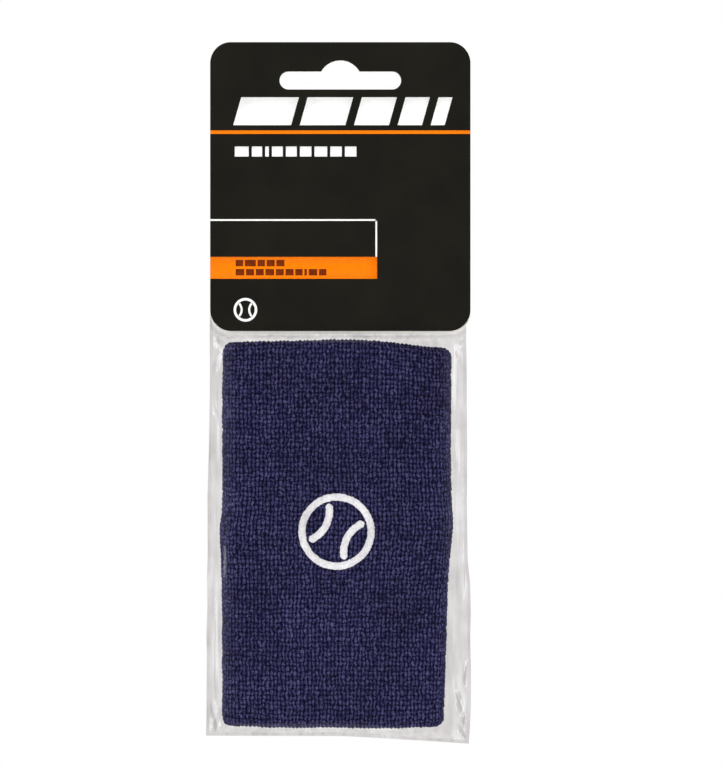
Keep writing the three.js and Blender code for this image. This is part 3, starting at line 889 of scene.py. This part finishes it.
# listed creases, in the lower right corner and beside the band's top corners: from, to, depth, width
handCreases = [
    ((36.5, -219.0), (43.0, -224.5), 0.9, 2.2),
    ((38.0, -204.0), (41.8, -214.0), -0.9, 2.0),
    ((41.8, -214.0), (37.2, -221.0), 0.9, 1.8),
    ((42.2, -196.0), (38.6, -209.0), 0.8, 2.0),
    ((38.6, -209.0), (42.6, -219.5), -0.9, 1.8),
    ((42.4, -209.0), (40.2, -218.0), 0.7, 1.2),
    ((36.0, -221.4), (18.0, -222.4), 0.35, 0.9),
    ((-30.0, -221.0), (-8.0, -221.4), 0.3, 0.8),
    ((-39.5, -212.0), (-43.2, -221.0), 0.7, 1.8),
    ((-43.2, -209.0), (-40.0, -220.5), -0.6, 1.5),
    ((-38.5, -94.5), (-43.0, -90.5), 0.7, 1.8),
    ((-39.6, -96.0), (-42.7, -104.0), -0.6, 1.5),
    ((37.0, -94.5), (41.5, -91.0), 0.8, 1.9),
    ((38.5, -95.0), (41.5, -100.5), -0.7, 1.6),
    ((-42.5, -113.0), (-41.0, -117.0), 0.6, 1.1),
]


def sideCreases(seed):
    # long shallow creases down both side margins, a little out of upright
    chance = np.random.default_rng(seed)
    lines = []
    for side in (-1, 1):
        for _ in range(film["sideCreases"]):
            x = side * chance.uniform(37.5, 42)
            z = chance.uniform(-214, -98)
            length = chance.uniform(9, 30)
            lean = chance.uniform(-1.2, 1.2)
            depth = chance.uniform(-1, 1) * film["creaseDepth"]
            lines.append(((x, z), (x + lean, z + length), depth, chance.uniform(0.7, 1.7)))
    return lines


def creaseHeight(x, z, lines):
    # each crease is a tent: full depth along its line, nothing at its width away, and fading at both ends
    total = np.zeros_like(x)
    for start, end, depth, width in lines:
        alongX = end[0] - start[0]
        alongZ = end[1] - start[1]
        share = ((x - start[0]) * alongX + (z - start[1]) * alongZ) / (alongX ** 2 + alongZ ** 2)
        share = np.clip(share, 0, 1)
        away = np.hypot(x - start[0] - share * alongX, z - start[1] - share * alongZ)
        total += depth * np.clip(1 - away / width, 0, 1) * np.sin(math.pi * np.clip(share, 0.08, 0.92))
    return total


def softLeast(first, second, ease):
    # the lesser of two heights, with the corner between them rounded
    share = np.clip(0.5 + 0.5 * (second - first) / ease, 0, 1)
    return second + (first - second) * share - ease * share * (1 - share)


def overRound(away, centreAway, centreHeight, radius):
    # a film drawn from a line over a round edge: straight up to where it touches, then the edge's own arc
    reach = math.hypot(centreAway, centreHeight)
    lean = math.atan2(centreHeight, centreAway) + math.asin(radius / reach)
    touch = centreAway - radius * math.sin(lean)
    arc = centreHeight + np.sqrt(np.clip(radius ** 2 - np.clip(centreAway - away, 0, radius) ** 2, 0, None))
    return np.where(away < touch, np.tan(lean) * np.clip(away, 0, None), arc)


def filmPly(name, way, seed):
    # One ply of the bag, from between the card's panels to the bottom weld: flat in the neck, drawn over the
    # band's round top, foot and sides, and creased where nothing backs it. Its height is the least of the
    # three, rounded where they meet.
    top = cadBoxOf("bag_neck")[1][2]
    cardFoot = rearLow[2]
    across = np.linspace(0, 1, film["columns"])
    # closer columns near the sides, and closer rows near the card and the foot
    across = across - film["crowding"] * np.sin(2 * math.pi * across)
    steps = [(0, 0), (0.06, cardFoot + 0.8 - top), (0.22, cardFoot - 5 - top),
             (0.86, film["plainFoot"] + 6.5 - top), (1, film["plainFoot"] - top)]
    down = smoothLine(steps, np.linspace(0, 1, film["rows"]), 0.02)
    down = (down - down[0]) / (down[-1] - down[0])
    u, v = np.meshgrid(across, down, indexing="ij")
    z = top + (film["plainFoot"] - top) * v
    left = smoothLine(film["leftEdge"], z, 1.5)
    right = smoothLine(film["rightEdge"], z, 1.5)
    # from nothing at 2 mm above the card's foot to all at 3 mm below it
    below = np.clip((cardFoot + 2 - z) / 5, 0, 1)
    wave = film["sideWave"] * latticeNoise(z / 9, z * 0 + 3, 60) * below
    x = left + (right - left) * u + wave
    foot = smoothLine(film["footEdge"], x, 3)
    z = top + (foot - top) * v
    face = film["face"]
    leftSide = overRound(x - left - film["weld"], film["sideReach"], 0, face)
    rightSide = overRound(right - x - film["weld"], film["sideReach"], 0, face)
    foldReach = face - foldCentre
    straight = film["straight"][1 if way > 0 else 0]
    overTop = overRound(cardFoot - straight - z, film["topReach"], foldCentre, foldReach)
    overFoot = overRound(z - foot - film["weld"], film["footReach"], foldCentre, foldReach)
    height = softLeast(overTop, overFoot, film["easing"])
    height = softLeast(height, softLeast(leftSide, rightSide, film["easing"]), film["easing"])
    height = np.clip(height, 0, face)
    # slack shows only where the plies stand apart, and creases only where no band backs the film
    room = np.clip(height / 1.5, 0, 1) * below
    free = np.clip(1.15 - (height / face) ** 4, 0, 1) * room
    slack = film["faceSlack"] * latticeNoise(x / 6, z / 14, seed + 5) * room
    creases = creaseHeight(x, z, handCreases + sideCreases(seed)) * free
    y = way * (film["neck"] + np.clip(height + slack + creases, 0, face + film["slackMost"]))
    piece = newPiece(name, gridOf(np.stack([x, y, z], axis=-1), turned=way > 0))
    # clearness: 0.5 on plain film, more on creases' upper flanks as painted light and less on lower ones as
    # painted shade, and less in the welds
    slopeU, slopeV = np.gradient(creases)
    paintedFlankLight = slopeU / np.gradient(x, axis=0) * 0.8 + slopeV / np.gradient(z, axis=1) * 0.6
    inWeld = np.minimum(np.minimum(x - left, right - x), z - foot) < film["weld"]
    # how far a point lies outside the rear panel's rounded outline
    corner = card["corner"]
    pastSide = np.clip(np.abs(x) - rearHigh[0] + corner, 0, None)
    pastFoot = np.clip(cardFoot + corner - z, 0, None)
    beyond = np.hypot(pastSide, pastFoot) - corner
    onBoard = 0.5 * np.clip(0.5 - beyond / 0.3, 0, 1)  # film that lies on the board greys nothing
    # painted shade: the film greys where it turns steeply away as it leaves the card
    paintedLeavingShade = film["steepShade"] * np.clip(1 - np.abs(beyond - 1.0) / 1.1, 0, 1)
    clearness = 0.5 + film["flankContrast"] * paintedFlankLight - film["weldShade"] * inWeld + onBoard - paintedLeavingShade
    clearness = np.clip(clearness, 0, 1)
    attribute = piece.data.attributes.new("clearness", "FLOAT", "POINT")
    attribute.data.foreach_set("value", clearness.reshape(-1).astype(np.float32))
    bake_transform(piece)
    widths = np.linalg.norm(np.diff(np.stack([x, y], axis=-1), axis=0), axis=-1).sum(axis=0)
    lengths = np.linalg.norm(np.diff(np.stack([y, z], axis=-1), axis=1), axis=-1).sum(axis=1)
    print(name, "is", widths.mean().round(1), "by", lengths.mean().round(1), "mm along its surface")
    return piece


def filmMaterial():
    # Blown polypropylene film, clear and glossy: it greys what is behind a little, gleams where it turns
    # away, and has painted light on its creases' upper flanks and painted shade on their lower flanks.
    material, tree = newMaterial("clearPolypropyleneFilm")
    place = addNode(tree, "ShaderNodeTexCoord").outputs["Object"]
    drawn = addNode(tree, "ShaderNodeMapping", None, {"Vector": place, "Scale": (1.0, 1.0, 0.12)})
    streaks = addNode(tree, "ShaderNodeTexNoise", None, {
        "Vector": drawn, "Scale": cellScale(2.38), "Detail": 3.0, "Roughness": 0.55,
    })
    clouds = addNode(tree, "ShaderNodeTexNoise", None, {
        "Vector": place, "Scale": cellScale(11.1), "Detail": 3.0,
    })
    cloudPart = addNode(tree, "ShaderNodeMath", {"operation": "MULTIPLY"}, {0: clouds, 1: 0.5})
    mixed = addNode(tree, "ShaderNodeMath", {"operation": "MULTIPLY_ADD"}, {
        0: streaks, 1: 0.5, 2: cloudPart,
    })
    # this attribute carries painted light and shade on the creases' flanks and where the film leaves the
    # card, besides the welds' tint
    clearness = addNode(tree, "ShaderNodeAttribute", {"attribute_name": "clearness"}).outputs["Fac"]
    both = addNode(tree, "ShaderNodeMath", {"operation": "ADD"}, {0: mixed, 1: clearness})
    clearer = addNode(tree, "ShaderNodeMath", {"operation": "SUBTRACT"}, {0: both, 1: 0.5})
    tint = addNode(tree, "ShaderNodeValToRGB", {"stops": film["tones"]}, {"Fac": clearer})
    ripple = addNode(tree, "ShaderNodeBump", None, {
        "Strength": 0.25, "Distance": 0.3 * mm, "Height": mixed,
    })
    through = addNode(tree, "ShaderNodeBsdfTransparent", None, {"Color": tint})
    gloss = addNode(tree, "ShaderNodeBsdfAnisotropic", None, {
        "Color": "#ffffff", "Roughness": 0.12, "Normal": ripple,
    })
    # how much it mirrors, the same from both sides: a little face on, and more by the fifth power of the turn
    turnedAway = addNode(tree, "ShaderNodeLayerWeight", None, {"Normal": ripple})
    steep = addNode(tree, "ShaderNodeMath", {"operation": "POWER"}, {0: turnedAway.outputs["Facing"], 1: 5.0})
    mirrored = addNode(tree, "ShaderNodeMath", {"operation": "MULTIPLY_ADD"}, {
        0: steep, 1: film["steepMirror"], 2: film["mirror"],
    })
    clear = addNode(tree, "ShaderNodeMixShader", None, {0: mirrored, 1: through, 2: gloss})
    addNode(tree, "ShaderNodeOutputMaterial", None, {"Surface": clear})
    return material


clearFilm = filmMaterial()
frontPly = filmPly("filmFrontPly", -1, 31)
rearPly = filmPly("filmRearPly", 1, 37)
for ply in (frontPly, rearPly):
    ply.data.materials.append(clearFilm)
    ply.visible_shadow = False  # clear film scatters light onward rather than shading what is inside
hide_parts("bag_front_film", "bag_neck", "bag_side_weld_left", "bag_side_weld_right",
            "bag_bottom_weld")
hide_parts("bag_rear_film")
print("the bag is closed round the band")


def insideMaterial(name, dark, light, cell, roughness):
    # what lies hidden between card, bag and walls: matt and mottled, or a soft gleam on the glue
    return mottledMaterial(name, [(0.35, dark), (0.65, light)], cell, (0.4, 0.1), {"Roughness": roughness})


insideFinishes = {
    "linking_thread": insideMaterial("spunPolyesterThread", "#15143a", "#2c2b58", 0.4, 0.8),
    "embroidery_backing": insideMaterial("nonWovenBacking", "#e6e3da", "#f7f5ef", 0.5556, 0.9),
    "front_adhesive": insideMaterial("hotMeltAdhesive", "#e3dcc0", "#f2edda", 2.5, 0.35),
    "elastic_row": insideMaterial("coveredRubberThread", "#c9c5ba", "#e2dfd6", 0.3333, 0.75),
}
insideFinishes["rear_adhesive"] = insideFinishes["front_adhesive"]
for name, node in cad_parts.items():
    for start, material in insideFinishes.items():
        if name.startswith(start):
            node.data.materials.clear()
            node.data.materials.append(material)

print("done")
